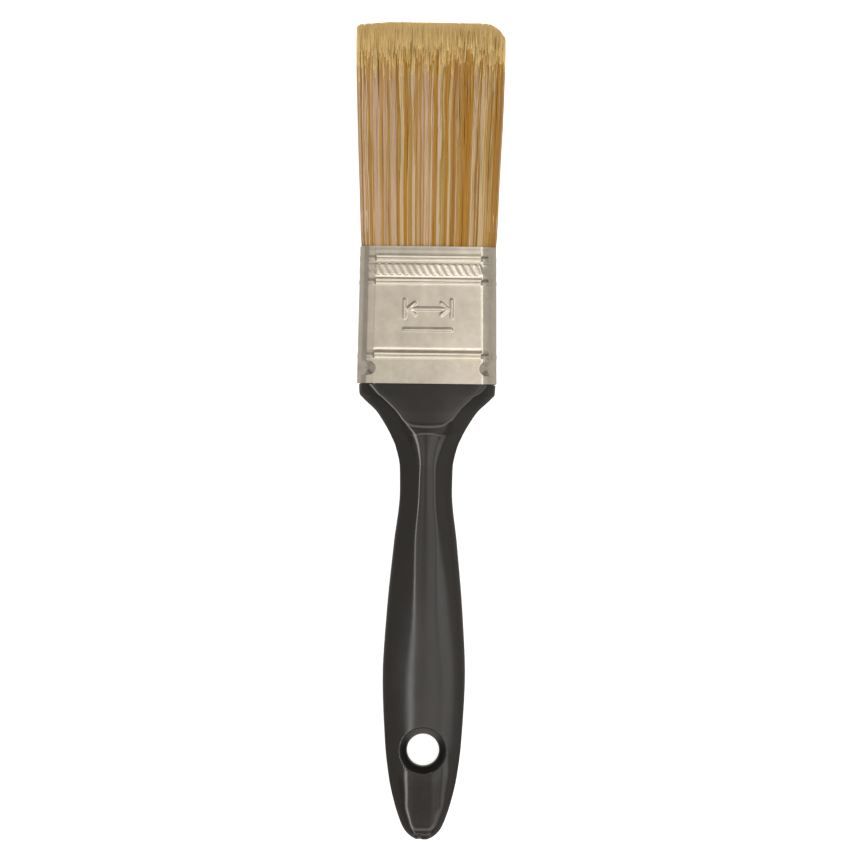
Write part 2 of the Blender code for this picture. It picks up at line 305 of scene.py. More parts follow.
def handle_plastic():
    nodes = new_material("handle_black_plastic")
    nodes.set(Roughness=0.1, IOR=1.6)
    cloud = nodes.noise(60, detail=2)
    nodes.drive(
        "Base Color",
        nodes.mix_colour(nodes.remap(cloud, 0, 1), srgb(25, 23, 22), srgb(30, 27, 26)),
    )
    grime = nodes.noise(220, detail=3, roughness=0.6)
    place = nodes.add("ShaderNodeSeparateXYZ")
    nodes.link(nodes.coordinates(), place.inputs["Vector"])
    worn = nodes.curve(place.outputs["Y"], HANDLE_WEAR)
    nodes.drive("Roughness", nodes.math("ADD", worn, nodes.remap(grime, -0.02, 0.02)))
    nodes.drive("Normal", nodes.bump(nodes.noise(70, detail=1, stretch=(1, 0.35, 1)), 0.03 * MM))
    return nodes.material


def plated_steel():
    nodes = new_material("ferrule_plated_steel")
    nodes.set(Metallic=1.0)
    mottle = nodes.noise(180, detail=4, roughness=0.6)
    nodes.drive(
        "Base Color",
        nodes.mix_colour(nodes.remap(mottle, 0, 1), srgb(214, 206, 192), srgb(230, 223, 211)),
    )
    streaks = nodes.noise(400, detail=3, roughness=0.6, stretch=(1, 0.3, 1))
    nodes.drive("Roughness", nodes.remap(streaks, 0.17, 0.26))
    nodes.drive("Normal", nodes.bump(nodes.noise(110, detail=2), 0.02 * MM))
    return nodes.material


def filament_material(name, colour, roughness=0.38):
    nodes = new_material(name)
    nodes.set(Base_Color=colour, Roughness=roughness, IOR=1.55)
    return nodes.material


def moulded_plug():
    nodes = new_material("plug_moulded_plastic")
    speckle = nodes.noise(500, detail=3)
    nodes.drive(
        "Base Color",
        nodes.mix_colour(nodes.remap(speckle, 0, 1), srgb(170, 167, 160), srgb(190, 187, 180)),
    )
    nodes.set(Roughness=0.6)
    nodes.drive("Normal", nodes.bump(nodes.noise(1200), 0.02 * MM))
    return nodes.material


def cured_epoxy():
    nodes = new_material("epoxy_cured")
    swirl = nodes.noise(250, detail=4, roughness=0.6)
    nodes.drive(
        "Base Color",
        nodes.mix_colour(nodes.remap(swirl, 0, 1), srgb(120, 86, 34), srgb(164, 124, 62)),
    )
    nodes.set(Roughness=0.18)
    nodes.drive("Normal", nodes.bump(nodes.noise(400, detail=2), 0.05 * MM))
    return nodes.material


# ---------------------------------------------------------------- handle

# In millimetres: distance, half width, height of the front edge lines, half distance
# between them, crown of the strip between them, slope beside them, softness of the lines.
HANDLE_STATIONS = np.array(
    (
        (0.0, 1.7, 1.6, 0.9, 0.0, 30, 0.3),
        (0.8, 3.1, 2.45, 1.7, 0.0, 30, 0.6),
        (2.1, 4.5, 3.14, 2.6, 0.0, 30, 1.0),
        (3.2, 5.3, 3.33, 3.3, 0.0, 31, 1.4),
        (5.5, 6.35, 3.47, 4.3, 0.0, 33, 1.9),
        (10.6, 8.0, 3.78, 5.6, 0.0, 33, 3.0),
        (17.3, 9.5, 4.2, 5.7, 0.0, 26, 3.2),
        (27.4, 10.7, 4.6, 4.4, 0.25, 18, 2.0),
        (46.0, 11.55, 5.6, 3.9, 0.22, 13, 1.6),
        (62.9, 10.7, 5.9, 3.2, 0.2, 15, 0.8),
        (83.2, 8.85, 5.5, 3.15, 0.2, 20, 0.5),
        (98.0, 7.3, 5.0, 2.35, 0.16, 25, 0.6),
        (104.4, 7.4, 5.0, 2.4, 0.2, 27, 0.8),
        (110.2, 8.6, 5.18, 3.55, 0.28, 27, 1.7),
        (113.6, 10.05, 5.3, 4.75, 0.3, 27, 2.2),
        (114.0, 10.25, 5.4, 4.9, 0.26, 27, 2.2),
        (116.0, 11.35, 6.04, 5.8, 0.1, 27, 1.6),
        (116.4, 11.6, 6.12, 6.0, 0.08, 27, 1.5),
        (117.8, 12.46, 6.28, 6.95, 0.06, 27, 1.1),
        (120.3, 14.2, 6.4, 8.8, 0.1, 27, 1.0),
        (123.7, 17.75, 6.45, 12.3, 0.1, 27, 1.0),
        (125.2, 19.0, 6.5, 13.9, 0.05, 20, 1.0),
        (127.8, 19.2, 6.5, 15.4, 0.0, 6, 1.0),
    )
)
NECK_END = 92 * MM
HANDLE_EDGES = (1.6 * MM, 2.6 * MM)  # half height of the narrow side: neck, shoulder
HANDLE_SPANS = (  # start, end and number of sections
    (0.0, 6 * MM, 28),
    (6 * MM, 105 * MM, 235),
    (105 * MM, SHOULDER_LEDGE, 80),
)
TANG_DENTS = (130.2 * MM, 134.6 * MM)  # the stretch that the ferrule's dents press
TANG_END = 141 * MM
CREASE_ANGLE = math.radians(38)  # edges sharper than this are shaded as edges
STRIP_POINTS = 9
FILLET_POINTS = 6
FLANK_POINTS = 18
EDGE_SHARES = (0.66, 0.33, 0.08)
EDGE_LIMIT = 0.4  # share of the line height
SOFTNESS_LIMIT = 0.7  # share of the line's distance from the middle
FILLET_LIMIT = 0.4  # share of the flank
CROWN_POWER = 2
HOLLOW_POWER = 4  # a hollow strip has a flat floor
PARTING_RIDGE = 0.05 * MM
GATE_NOTCH = -0.75 * MM  # offset of its middle
GATE_NOTCH_SPREAD = 0.5 * MM
GATE_NOTCH_DEPTH = 0.55 * MM
GATE_NOTCH_REACH = 2.0 * MM
SHEET = 0.3 * MM
FERRULE_CLEARANCE = 0.3 * MM
HANG_HOLE = sum(v[1] for v in frame["record"]["physics"]["openings"][0]["box_m"]) / 2 - TAIL
HOLE_SEGMENTS = 128
HOLE_FORM_TOP = 9.0  # millimetres from the middle, clear of the handle
# The lip and the countersink: radius, and depth below the handle's surface.
HOLE_LIP = (
    (7.6, -0.7),
    (6.76, -0.04),
    (6.6, 0.04),
    (6.46, 0.17),
    (6.33, 0.38),
    (6.2, 0.75),
    (4.95, 2.35),
)
# The wall under it: radius, and height from the middle.
BORE_WALL = ((4.62, 1.4), (4.5, 1.0), (4.5, 0.0))


def handle_quarter(distance):
    """The first quarter of the handle's section here, from the top of the crown to the side."""
    knots = HANDLE_STATIONS[:, 0] * MM
    width, line_height, line_at, crown, slope, softness = (
        float(smooth_curve(distance, knots, HANDLE_STATIONS[:, column])) for column in range(1, 7)
    )
    width, line_height, line_at, crown, softness = (
        value * MM for value in (width, line_height, line_at, crown, softness)
    )
    thin, thick = HANDLE_EDGES
    edge = thin + (thick - thin) * float(smoothstep(NECK_END, knots[-1], distance))
    edge = min(edge, EDGE_LIMIT * line_height)
    softness = min(softness, SOFTNESS_LIMIT * line_at)
    strip_x = np.linspace(0, line_at - softness, STRIP_POINTS)
    power = CROWN_POWER if crown >= 0 else HOLLOW_POWER
    crown_height = crown * (1 - (strip_x / line_at) ** power)
    strip = np.stack([strip_x, line_height + crown_height], axis=1)
    corner = np.array((line_at, line_height))
    fall = (width - line_at) * math.tan(math.radians(slope))
    pull = np.array((width, max(line_height - fall, edge)))
    start = min(FILLET_LIMIT, softness / (2 * np.linalg.norm(pull - corner)))
    flank = quadratic(corner, pull, (width, edge), np.linspace(start, 1, FLANK_POINTS))
    fillet = quadratic(strip[-1], corner, flank[0], np.linspace(0, 1, FILLET_POINTS + 2))[1:-1]
    side = [(width, edge * share) for share in EDGE_SHARES] + [(width + PARTING_RIDGE, 0)]
    return np.concatenate([strip, fillet, flank, side])


def tang_quarter(distance, count):
    """The tang fills the ferrule; its points are spread as the handle's are."""
    inset = SHEET + FERRULE_CLEARANCE
    outline = ferrule_quarter(distance, inset)
    run = np.concatenate([[0], np.cumsum(np.linalg.norm(np.diff(outline, axis=0), axis=1))])
    places = np.linspace(0, run[-1], count)
    return np.stack([np.interp(places, run, outline[:, axis]) for axis in (0, 1)], axis=1)


def handle_surface(x, distance):
    """Height of the handle's front above the middle, at this distance and offset."""
    quarter = handle_quarter(distance)
    top = quarter[: STRIP_POINTS + FILLET_POINTS + FLANK_POINTS]
    return float(np.interp(abs(x), top[:, 0], top[:, 1]))


def hang_hole_form():
    """The closed form that cuts the hang hole, with a lip that follows the handle's surface."""
    rings = []
    profile = [(HOLE_LIP[0][0], HOLE_FORM_TOP, False)]
    profile += [(r, d, True) for r, d in HOLE_LIP] + [(r, h, False) for r, h in BORE_WALL]
    for radius, level, from_surface in profile:
        ring = []
        for step in range(HOLE_SEGMENTS):
            turn = 2 * math.pi * step / HOLE_SEGMENTS
            x = radius * MM * math.cos(turn)
            y = HANG_HOLE + radius * MM * math.sin(turn)
            height = handle_surface(x, y) - level * MM if from_surface else level * MM
            ring.append((x, y, height))
        rings.append(ring)
    rings += [[(x, y, -z) for x, y, z in ring] for ring in rings[-2::-1]]
    vertices = [point for ring in rings for point in ring]
    faces = capped_tube_faces(len(rings), HOLE_SEGMENTS)
    return outward(mesh_object("hang_hole_form", vertices, faces, []))


def gate_notched(points):
    """Breaks a small notch into the tail's end, where the moulding left its mould's gate."""
    x, y, z = points.T
    near = np.clip(1 - y / GATE_NOTCH_REACH, 0, 1)
    depth = GATE_NOTCH_DEPTH * near * np.exp(-(((x - GATE_NOTCH) / GATE_NOTCH_SPREAD) ** 2))
    return points + np.stack([0 * x, depth, 0 * z], axis=1)


def build_handle(material):
    stations = spaced(HANDLE_SPANS, SHOULDER_LEDGE)
    quarters = [(y, handle_quarter(y)) for y in stations]
    count = len(quarters[0][1])
    tang_stations = np.concatenate([[SHOULDER_LEDGE], np.linspace(*TANG_DENTS, 12), [TANG_END]])
    quarters += [(y, tang_quarter(y, count)) for y in tang_stations]
    rings = [[(x, y, z) for x, z in mirrored_ring(quarter)] for y, quarter in quarters]
    vertices = np.array([point for ring in rings for point in ring])
    vertices = gate_notched(dented(vertices))
    faces = capped_tube_faces(len(rings), len(rings[0]))
    handle = outward(mesh_object("handle_moulding", vertices, faces, [material]))
    form = hang_hole_form()
    cut = handle.modifiers.new("hang_hole", "BOOLEAN")
    cut.object = form
    cut.operation = "DIFFERENCE"
    cut.solver = "EXACT"
    apply_modifiers(handle)
    bpy.data.objects.remove(form)
    handle.data.polygons.foreach_set("use_smooth", np.ones(len(handle.data.polygons), bool))
    handle.data.set_sharp_from_angle(angle=CREASE_ANGLE)
    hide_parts("handle")
    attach(handle, HANDLE_BODY)


# ---------------------------------------------------------------- ferrule

FERRULE_HALF_THICKNESS = 6.8 * MM
FERRULE_HALF_WIDTHS = (19.5 * MM, 18.95 * MM)  # foot, mouth
# Corner of the section, from its outer corner: inwards across the width, down the side, radius.
CORNER_BENDS = ((4.1, 0.0, 0.4), (2.1, 0.55, 0.4), (0.75, 1.7, 0.6), (0.0, 3.6, 0.8))
BEADS = (163.0 * MM, 156.4 * MM, 135.8 * MM)
BEAD_BENDS = (0.3 * MM, 0.8 * MM, 0.95 * MM)  # ends of the top, the slope and the foot
BEAD_HEIGHT = 0.42 * MM
SIDE_SHARES = np.array((0.95, 0.85, 0.5))  # heights of the points up the narrow side
ROPE_BAND = (158.4 * MM, 161.6 * MM)
ROPE_PITCH = 1.97 * MM
ROPE_SLANT = 0.56  # sideways run for each unit down the brush
ROPE_BASE = 0.06 * MM  # height of the band that the strands stand on
ROPE_HEIGHT = 0.15 * MM
ROPE_FADE = (0.35 * MM, 0.1 * MM)  # its edge fades from this far inside to this far outside
ROPE_RISE = 0.3  # share of a strand that is its steep left side
GROOVES = ((157.75, 0.4, 0.12), (137.5, 0.5, 0.14), (164.6, 0.4, 0.06))  # place, spread, depth
DENTS = 132.4 * MM
DENT_DEPTH = 1.5 * MM
DENT_REACH = 3.9 * MM
DENT_HALF_LENGTH = 2.0 * MM
DENT_INSET = 1.2 * MM  # its middle, in from the corner that the faces would meet at
DENT_PUSH = (0.6, 0.8)  # share of the depth across the width and through the thickness
DENT_ROUNDING = 0.002
# The size mark, in millimetres: a double arrow between two bars, over a plain bar.
MARK_ARROW_AT = 149.0
MARK_BAR_AT = 143.2
MARK_REACH = 6.6
MARK_TIP_GAP = 1.0
MARK_END_HALF = 2.4  # half height of the two bars
MARK_BARB = (1.9, 1.6)
MARK_STROKE = (0.2, 0.65)  # half widths of a stroke's top and foot
MARK_HEIGHT = 0.2 * MM
FRONT_FROM = 0.9 * FERRULE_HALF_THICKNESS  # the front face is above this height
FACE_FADE = (0.5 * MM, 0.15 * MM)  # the stamping fades from this far inside a face to outside
CORNER_STRENGTH = 0.42  # share of the stamping's height on the corners
SIDE_WEAKENING = 0.22  # and how much less it is on the narrow sides
SIDE_DROPS = (1.0 * MM, 3.6 * MM)  # the corners end between these depths below the face
SEAM_BACK = -1.6 * MM  # height of its back edge
SEAM_HEIGHT = 0.28 * MM
SEAM_FADE = (1.2 * MM, 2.5 * MM)  # its front edge is pressed flat between these heights
SEAM_SIDE_DROP = 4.2 * MM  # it is only on the narrow side, this far below the face
PANEL_CROWN = 0.16 * MM  # the flat faces bulge by this much
PANEL_HALF_WIDTH = 15.0 * MM
PANEL_WAVE = 0.03 * MM  # and aren't quite even
PANEL_WAVE_ACROSS = (4.3 * MM, 1.1)  # length of one radian, and phase
PANEL_WAVE_ALONG = (5.1 * MM, 0.4)
MOUTH_LIP_DEPTH = 0.12 * MM  # the mouth's edge is drawn in by this much
MOUTH_LIP_LENGTH = 2.2 * MM
MOUTH_LIP_FROM = 4 * MM  # only the points above this height are drawn in
INNER_ROWS = (
    MOUTH,
    *np.linspace(150 * MM, 136 * MM, 4),
    *np.linspace(134.5 * MM, 130.3 * MM, 14),
    FOOT,
)
FOLD_ANGLE = math.radians(50)  # folds sharper than this are shaded as edges
FLAT_COLUMNS = 84  # from the middle of a flat face to its edge
BEND_POINTS = 4


def ferrule_half_width(distance):
    return np.interp(distance, (FOOT, MOUTH), FERRULE_HALF_WIDTHS)


def ferrule_quarter(distance, inset=0.0, flat_columns=20):
    """The first quarter of the ferrule's section: a flat face, three bends and a narrow side."""
    half_width = float(ferrule_half_width(distance)) - inset
    half_thickness = FERRULE_HALF_THICKNESS - inset
    bends = [
        (np.array((half_width - a * MM, half_thickness - b * MM)), radius * MM)
        for a, b, radius in CORNER_BENDS
    ]
    path = [np.array((0.0, half_thickness))]
    path += [corner for corner, _ in bends]
    path.append(np.array((half_width, 0.0)))
    rounded = []
    for before, (corner, radius), after in zip(path, bends, path[2:]):
        into = (corner - before) / np.linalg.norm(corner - before)
        out = (after - corner) / np.linalg.norm(after - corner)
        rounded.append(
            quadratic(
                corner - into * radius,
                corner,
                corner + out * radius,
                np.linspace(0, 1, BEND_POINTS + 1),
            )
        )
    corner_points = np.concatenate(rounded)
    flat_x = np.linspace(0, corner_points[0][0], flat_columns + 1)[:-1]
    flat = np.stack([flat_x, np.full(len(flat_x), half_thickness)], axis=1)
    side_z = corner_points[-1][1] * SIDE_SHARES
    side = np.stack([np.full(len(side_z), half_width), side_z], axis=1)
    return np.concatenate([flat, corner_points, side, [(half_width, 0.0)]])


def dented(points):
    """Presses the four lower corners of the ferrule, and of the tang in it, inwards."""
    x, y, z = points.T
    corner_x = ferrule_half_width(y) - DENT_INSET
    corner_z = FERRULE_HALF_THICKNESS - DENT_INSET
    around = np.hypot(np.abs(x) - corner_x, np.abs(z) - corner_z) / DENT_REACH
    along = np.abs(y - DENTS) / DENT_HALF_LENGTH
    depth = DENT_DEPTH * np.clip(1 - np.sqrt(along**2 + around**4 + DENT_ROUNDING), 0, 1)
    moved = points.copy()
    moved[:, 0] -= np.sign(x) * depth * DENT_PUSH[0]
    moved[:, 2] -= np.sign(z) * depth * DENT_PUSH[1]
    return moved


def bead_profile(away):
    """A rounded top, straight slopes and a rounded foot, at this distance from the middle."""
    top, slope_end, foot = BEAD_BENDS
    steepness = BEAD_HEIGHT / (foot / 2 + slope_end / 2 - top / 2)
    on_top = np.minimum(away, top)
    on_slope = np.clip(away - top, 0, slope_end - top)
    on_foot = np.clip(away - slope_end, 0, foot - slope_end)
    fall = on_top**2 / (2 * top) + on_slope + on_foot - on_foot**2 / (2 * (foot - slope_end))
    return BEAD_HEIGHT - steepness * fall


def bead_relief(y):
    relief = np.zeros_like(y)
    for bead in BEADS:
        relief += bead_profile(np.abs(y - bead))
    for place, spread, depth in GROOVES:
        relief -= depth * MM * np.exp(-(((y - place * MM) / (spread * MM)) ** 2))
    return relief


def rope_relief(x, y):
    """A low raised band with slanting strands across it."""
    middle = sum(ROPE_BAND) / 2
    half = (ROPE_BAND[1] - ROPE_BAND[0]) / 2
    inside, outside = ROPE_FADE
    band = 1 - smoothstep(half - inside, half + outside, np.abs(y - middle))
    phase = (x + ROPE_SLANT * (y - middle)) / ROPE_PITCH
    turn = phase % 1.0
    rise = 0.5 - 0.5 * np.cos(math.pi * turn / ROPE_RISE)
    fall = 0.5 + 0.5 * np.cos(math.pi * (turn - ROPE_RISE) / (1 - ROPE_RISE))
    return band * (ROPE_BASE + ROPE_HEIGHT * np.where(turn < ROPE_RISE, rise, fall))


def segment_distance(x, y, start, end):
    """Distance of each point from a straight stroke."""
    start, end = np.array(start, float), np.array(end, float)
    run = end - start
    share = ((x - start[0]) * run[0] + (y - start[1]) * run[1]) / (run @ run)
    share = np.clip(share, 0, 1)
    return np.hypot(x - start[0] - share * run[0], y - start[1] - share * run[1])


def size_mark_strokes():
    """The strokes of a plain width symbol, in millimetres, each from a start to an end."""
    tip_x = MARK_REACH - MARK_TIP_GAP
    back, up = MARK_BARB
    low, high = MARK_ARROW_AT - MARK_END_HALF, MARK_ARROW_AT + MARK_END_HALF
    strokes = [((-tip_x, MARK_ARROW_AT), (tip_x, MARK_ARROW_AT))]
    for side in (-1, 1):
        tip = (side * tip_x, MARK_ARROW_AT)
        strokes.append(((side * MARK_REACH, low), (side * MARK_REACH, high)))
        strokes.append((tip, (side * (tip_x - back), MARK_ARROW_AT - up)))
        strokes.append((tip, (side * (tip_x - back), MARK_ARROW_AT + up)))
    strokes.append(((-MARK_REACH, MARK_BAR_AT), (MARK_REACH, MARK_BAR_AT)))
    return strokes


def mark_relief(x, y):
    relief = np.zeros_like(x)
    for start, end in size_mark_strokes():
        away = segment_distance(x / MM, y / MM, start, end)
        relief = np.maximum(relief, MARK_HEIGHT * (1 - smoothstep(*MARK_STROKE, away)))
    return relief


def ferrule_relief(x, y, z, half_width):
    """How far the stamping stands out of the plain sheet at each point."""
    flat_edge = half_width - CORNER_BENDS[0][0] * MM
    inside, outside = FACE_FADE
    drop = FERRULE_HALF_THICKNESS - np.abs(z)
    on_face = 1 - smoothstep(flat_edge - inside, flat_edge + outside, np.abs(x))
    on_side = smoothstep(*SIDE_DROPS, drop)
    strength = on_face + (1 - on_face) * (CORNER_STRENGTH - SIDE_WEAKENING * on_side)
    round_x = np.where(on_face > 0.5, x, x + np.sign(x) * drop)
    relief = strength * (bead_relief(y) + rope_relief(round_x, y))
    return relief + np.where(z > FRONT_FROM, mark_relief(x, y), 0.0)


def stamped_height(x, y, z):
    """How far the finished sheet stands out at each point, with its bulge and its seam."""
    height = ferrule_relief(x, y, z, ferrule_half_width(y))
    height = height + PANEL_CROWN * np.clip(1 - (x / PANEL_HALF_WIDTH) ** 2, 0, 1)
    across = np.sin(x / PANEL_WAVE_ACROSS[0] + PANEL_WAVE_ACROSS[1])
    along = np.sin(y / PANEL_WAVE_ALONG[0] + PANEL_WAVE_ALONG[1])
    wave = PANEL_WAVE * across * along
    lap = (x < 0) & (np.abs(z) < FERRULE_HALF_THICKNESS - SEAM_SIDE_DROP)
    seam = SEAM_HEIGHT * (z > SEAM_BACK) * (1 - smoothstep(*SEAM_FADE, z))
    return height + wave + np.where(lap, seam, 0.0)


def ferrule_rows():
    """Distances of the rows of points, close together where the stamping needs it."""
    spans = (  # start, end and number of rows
        (FOOT, 130.3 * MM, 8),
        (130.3 * MM, 134.5 * MM, 26),
        (134.5 * MM, 138.6 * MM, 30),
        (138.6 * MM, 140.6 * MM, 5),
        (140.6 * MM, 152.4 * MM, 62),
        (152.4 * MM, 155.2 * MM, 5),
        (155.2 * MM, 158.3 * MM, 24),
        (158.3 * MM, 161.8 * MM, 26),
        (161.8 * MM, 164.3 * MM, 20),
        (164.3 * MM, MOUTH, 8),
    )
    return spaced(spans, MOUTH)


def ferrule_skin(rows, inset, flat_columns, stamped):
    """Rings of points over the sheet's outside, or plain ones over its inside."""
    rings = []
    for y in rows:
        ring = mirrored_ring(ferrule_quarter(y, inset, flat_columns))
        points = np.stack([ring[:, 0], np.full(len(ring), y), ring[:, 1]], axis=1)
        height = points[:, 2]
        lip = MOUTH_LIP_DEPTH * float(smoothstep(MOUTH - MOUTH_LIP_LENGTH, MOUTH, y))
        points[:, 2] -= np.sign(height) * lip * (np.abs(height) > MOUTH_LIP_FROM)
        rings.append(points)
    points = np.array(rings)
    flat = points.reshape(-1, 3)
    if stamped:
        around = np.roll(points, -1, axis=1) - np.roll(points, 1, axis=1)
        level = np.zeros(points.shape[:2])
        normals = np.stack([-around[..., 2], level, around[..., 0]], axis=-1)
        normals /= np.linalg.norm(normals, axis=-1, keepdims=True)
        flat = flat + normals.reshape(-1, 3) * stamped_height(*flat.T)[:, None]
    return dented(flat)


def build_ferrule(material):
    rows = ferrule_rows()
    outside = ferrule_skin(rows, 0.0, FLAT_COLUMNS, stamped=True)
    inside = ferrule_skin(INNER_ROWS, SHEET, FLAT_COLUMNS, stamped=False)
    size = 4 * (len(ferrule_quarter(MOUTH, 0.0, FLAT_COLUMNS)) - 1)
    vertices = np.concatenate([outside, inside])
    ring_count = len(rows) + len(INNER_ROWS)
    around = np.arange(size)
    after = (around + 1) % size
    last = (ring_count - 1) * size
    foot = np.stack([last + around, last + after, after, around], axis=-1)
    faces = np.concatenate([tube_faces(ring_count, size), foot])
    ferrule = outward(mesh_object("ferrule_sheet", vertices, faces, [material]))
    ferrule.data.set_sharp_from_angle(angle=FOLD_ANGLE)
    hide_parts("ferrule")
    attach(ferrule, HANDLE_BODY)


# ---------------------------------------------------------------- filaments

COLUMNS = 6
SKIN_FILAMENTS = 270  # the outer layer of a tuft
CORE_FILAMENTS = 460  # the ones inside it, which reach the tips
FILAMENT_COUNT = SKIN_FILAMENTS + CORE_FILAMENTS
RINGS = 13
RUN = np.linspace(0, 1, RINGS) ** 0.85  # where they are, a little closer towards the tips
SIDES = 4
FILAMENT_START = MOUTH - 3 * MM
FILAMENT_SEED = 38
# In millimetres: distance from the ferrule's mouth, and half width of the pack there.
PACK_WIDTH = (
    (-3.0, 18.55),
    (0.0, 18.6),
    (1.5, 18.95),
    (15, 19.4),
    (32, 20.15),
    (45, 20.6),
    (54, 20.9),
    (64, 20.9),
)
PACK_HALF_WIDTH_MEAN = 19.8 * MM
PACK_HALF_THICKNESSES = (6.3 * MM, 7.1 * MM, 3.3 * MM)  # mouth, pull at mid length, tips
PACK_CORNER = 2.6 * MM
PACK_CORNER_LIMIT = 0.6  # share of the half thickness
MOUTH_HOLD = (0.5 * MM, 9 * MM)  # the mouth's shape is lost between these distances from it
CHISEL = 2.0 * MM  # how far the outer ones of the core stop below the middle ones
SKIN_STOPS = {True: (7.5 * MM, 13.5 * MM), False: (2.5 * MM, 9.0 * MM)}  # pale, golden
ROOT_RADIUS = 0.185 * MM
TIP_RADIUS = 0.07 * MM
SHADES = {
    "ochre": srgb(178, 128, 42),
    "amber": srgb(166, 118, 48),
    "tan": srgb(184, 141, 72),
    "olive": srgb(178, 143, 72),
    "cream": srgb(204, 180, 134),
    "white": srgb(210, 187, 158),
    "rose": srgb(200, 170, 138),
    "tip": srgb(240, 212, 148),
    "tip_gold": srgb(234, 198, 124),
}
SHADE_NAMES = list(SHADES)
GOLDEN = ("ochre", "amber", "tan", "olive", "tan", "ochre")
PALE = ("cream", "white", "rose", "white", "rose")
GOLDEN_BAND = (0.44, 0.56)  # one wide golden strand, as shares of the half width
STRAND_WIDTHS = (0.35, 1.2)  # in millimetres
STRAND_LEAN = 0.22 * MM
STRAND_SWAYS = (0.1, 0.45)  # in millimetres, as the next ones
STRAND_WAVES = (22, 55)
STRAND_HEIGHT = 0.12 * MM
PALE_CHANCE = 0.43  # in the middle of the pack
PALE_CHANCE_FALL = 0.36  # and how much less it is at the right edge
PALE_AFTER_GOLDEN = 1.5  # times that chance
PALE_AFTER_PALE = 0.5
LEFT_STOP = 0.8 * MM  # the tips fall by this much towards the left edge, and again just at it
LEFT_STARTS = (0.55, 0.96)  # from these shares of the half width
RIGHT_STOP = 4.2 * MM
RIGHT_START = 0.72
RIGHT_POWER = 2.4
TIP_TILT = 0.25 * MM
TIP_SCATTER = 0.15 * MM
SKIN_DEPTHS = (0.86, 1.0)  # from the middle of the pack to its face, as shares
CORE_DEPTHS = (0.02, 0.9)
SIDE_CHANCE = 0.3  # that a core filament of an outermost tuft stands at the pack's edge
SIDE_PLACES = (0.975, 1.0)
STRAY_CHANCE = 0.12  # that a filament is of the other kind than its strand
SHADE_KEPT = 0.72  # chance that a filament has its strand's own shade
CORE_LOOSE = 0.35  # how freely the core's filaments wander, against the skin's
EDGE_LOOSE = 0.2  # and those at the edge of the pack
EDGE_FROM = 0.9
OWN_SWAY = 0.16 * MM
OWN_TURNS = (0.7, 2.2)
OWN_LEAN = 0.22 * MM
OWN_HEIGHT = 0.07 * MM
OWN_RIPPLE = 0.1 * MM
RIPPLE_TURN = 9  # radians from the mouth to the tips
EDGE_STRAY = 0.03 * MM
LEAST_HEIGHT = 0.05 * MM
RADIUS_SPREAD = (0.85, 1.12)
TAPER = 0.15
END_TAPER = 0.25  # and this much more over the last quarter
END_TAPER_FROM = 0.75
GOLD_TIP_CHANCE = 0.35
CORE_FADES = (6, 11)  # lengths of the bright tips, in millimetres
SKIN_FADES = (2, 6)


def pack_half_width(distance):
    knots = np.array(PACK_WIDTH) * MM
    return np.interp(distance - MOUTH, knots[:, 0], knots[:, 1])


def pack_surface(share, distance):
    """The pack's half thickness at this share of its half width."""
    mouth, pull, tips = PACK_HALF_THICKNESSES
    along = np.clip((distance - MOUTH) / (TIPS - MOUTH), 0, 1)
    half = mouth * (1 - along) ** 2 + 2 * pull * along * (1 - along) + tips * along**2
    corner = np.minimum(PACK_CORNER, PACK_CORNER_LIMIT * half)
    width = pack_half_width(distance)
    inside = np.clip(np.abs(share) * width - (width - corner), 0, None)
    free = half - corner + np.sqrt(np.clip(corner**2 - inside**2, 0, None))
    held = np.interp(np.abs(share) * width, *mouth_outline())
    return held + (free - held) * smoothstep(*MOUTH_HOLD, distance - MOUTH)


def mouth_outline():
    """The inside of the ferrule's mouth, as places across and the height at each."""
    outline = ferrule_quarter(MOUTH, SHEET + ROOT_RADIUS)
    outline = outline[outline[:, 1] > 0.4 * MM]
    return outline[:, 0], outline[:, 1]


def strand_table(random):
    """Strands across the pack: each has a place, a width, a shade and a slow wander."""
    strands = []
    edge = -1.0
    pale = False
    while edge < 1.0:
        width = random.uniform(*STRAND_WIDTHS) * MM / PACK_HALF_WIDTH_MEAN
        middle = edge + width / 2
        chance = PALE_CHANCE - PALE_CHANCE_FALL * middle
        pale = random.random() < chance * (PALE_AFTER_PALE if pale else PALE_AFTER_GOLDEN)
        shade = random.choice(PALE if pale else GOLDEN)
        if GOLDEN_BAND[0] < middle < GOLDEN_BAND[1]:
            pale, shade = False, "ochre"
        strands.append(
            {
                "edge": edge,
                "shade": SHADE_NAMES.index(shade),
                "pale": pale,
                "lean": random.normal(0, STRAND_LEAN),
                "sway": random.uniform(*STRAND_SWAYS) * MM,
                "wave": random.uniform(*STRAND_WAVES) * MM,
                "phase": random.uniform(0, 2 * math.pi),
                "height": random.normal(0, STRAND_HEIGHT),
            }
        )
        edge += width
    return strands


def tip_line(share):
    """How far the tips stop short at this place across the pack."""
    left = sum(LEFT_STOP * np.clip((-share - start) / (1 - start), 0, 1) for start in LEFT_STARTS)
    right = RIGHT_STOP * np.clip((share - RIGHT_START) / (1 - RIGHT_START), 0, 1) ** RIGHT_POWER
    return left + right + TIP_TILT * (share + 1) / 2


def spread(random, count, start, end):
    """Places from start to end, one at random in each of a row of equal steps."""
    return start + (end - start) * (np.arange(count) + random.random(count)) / count


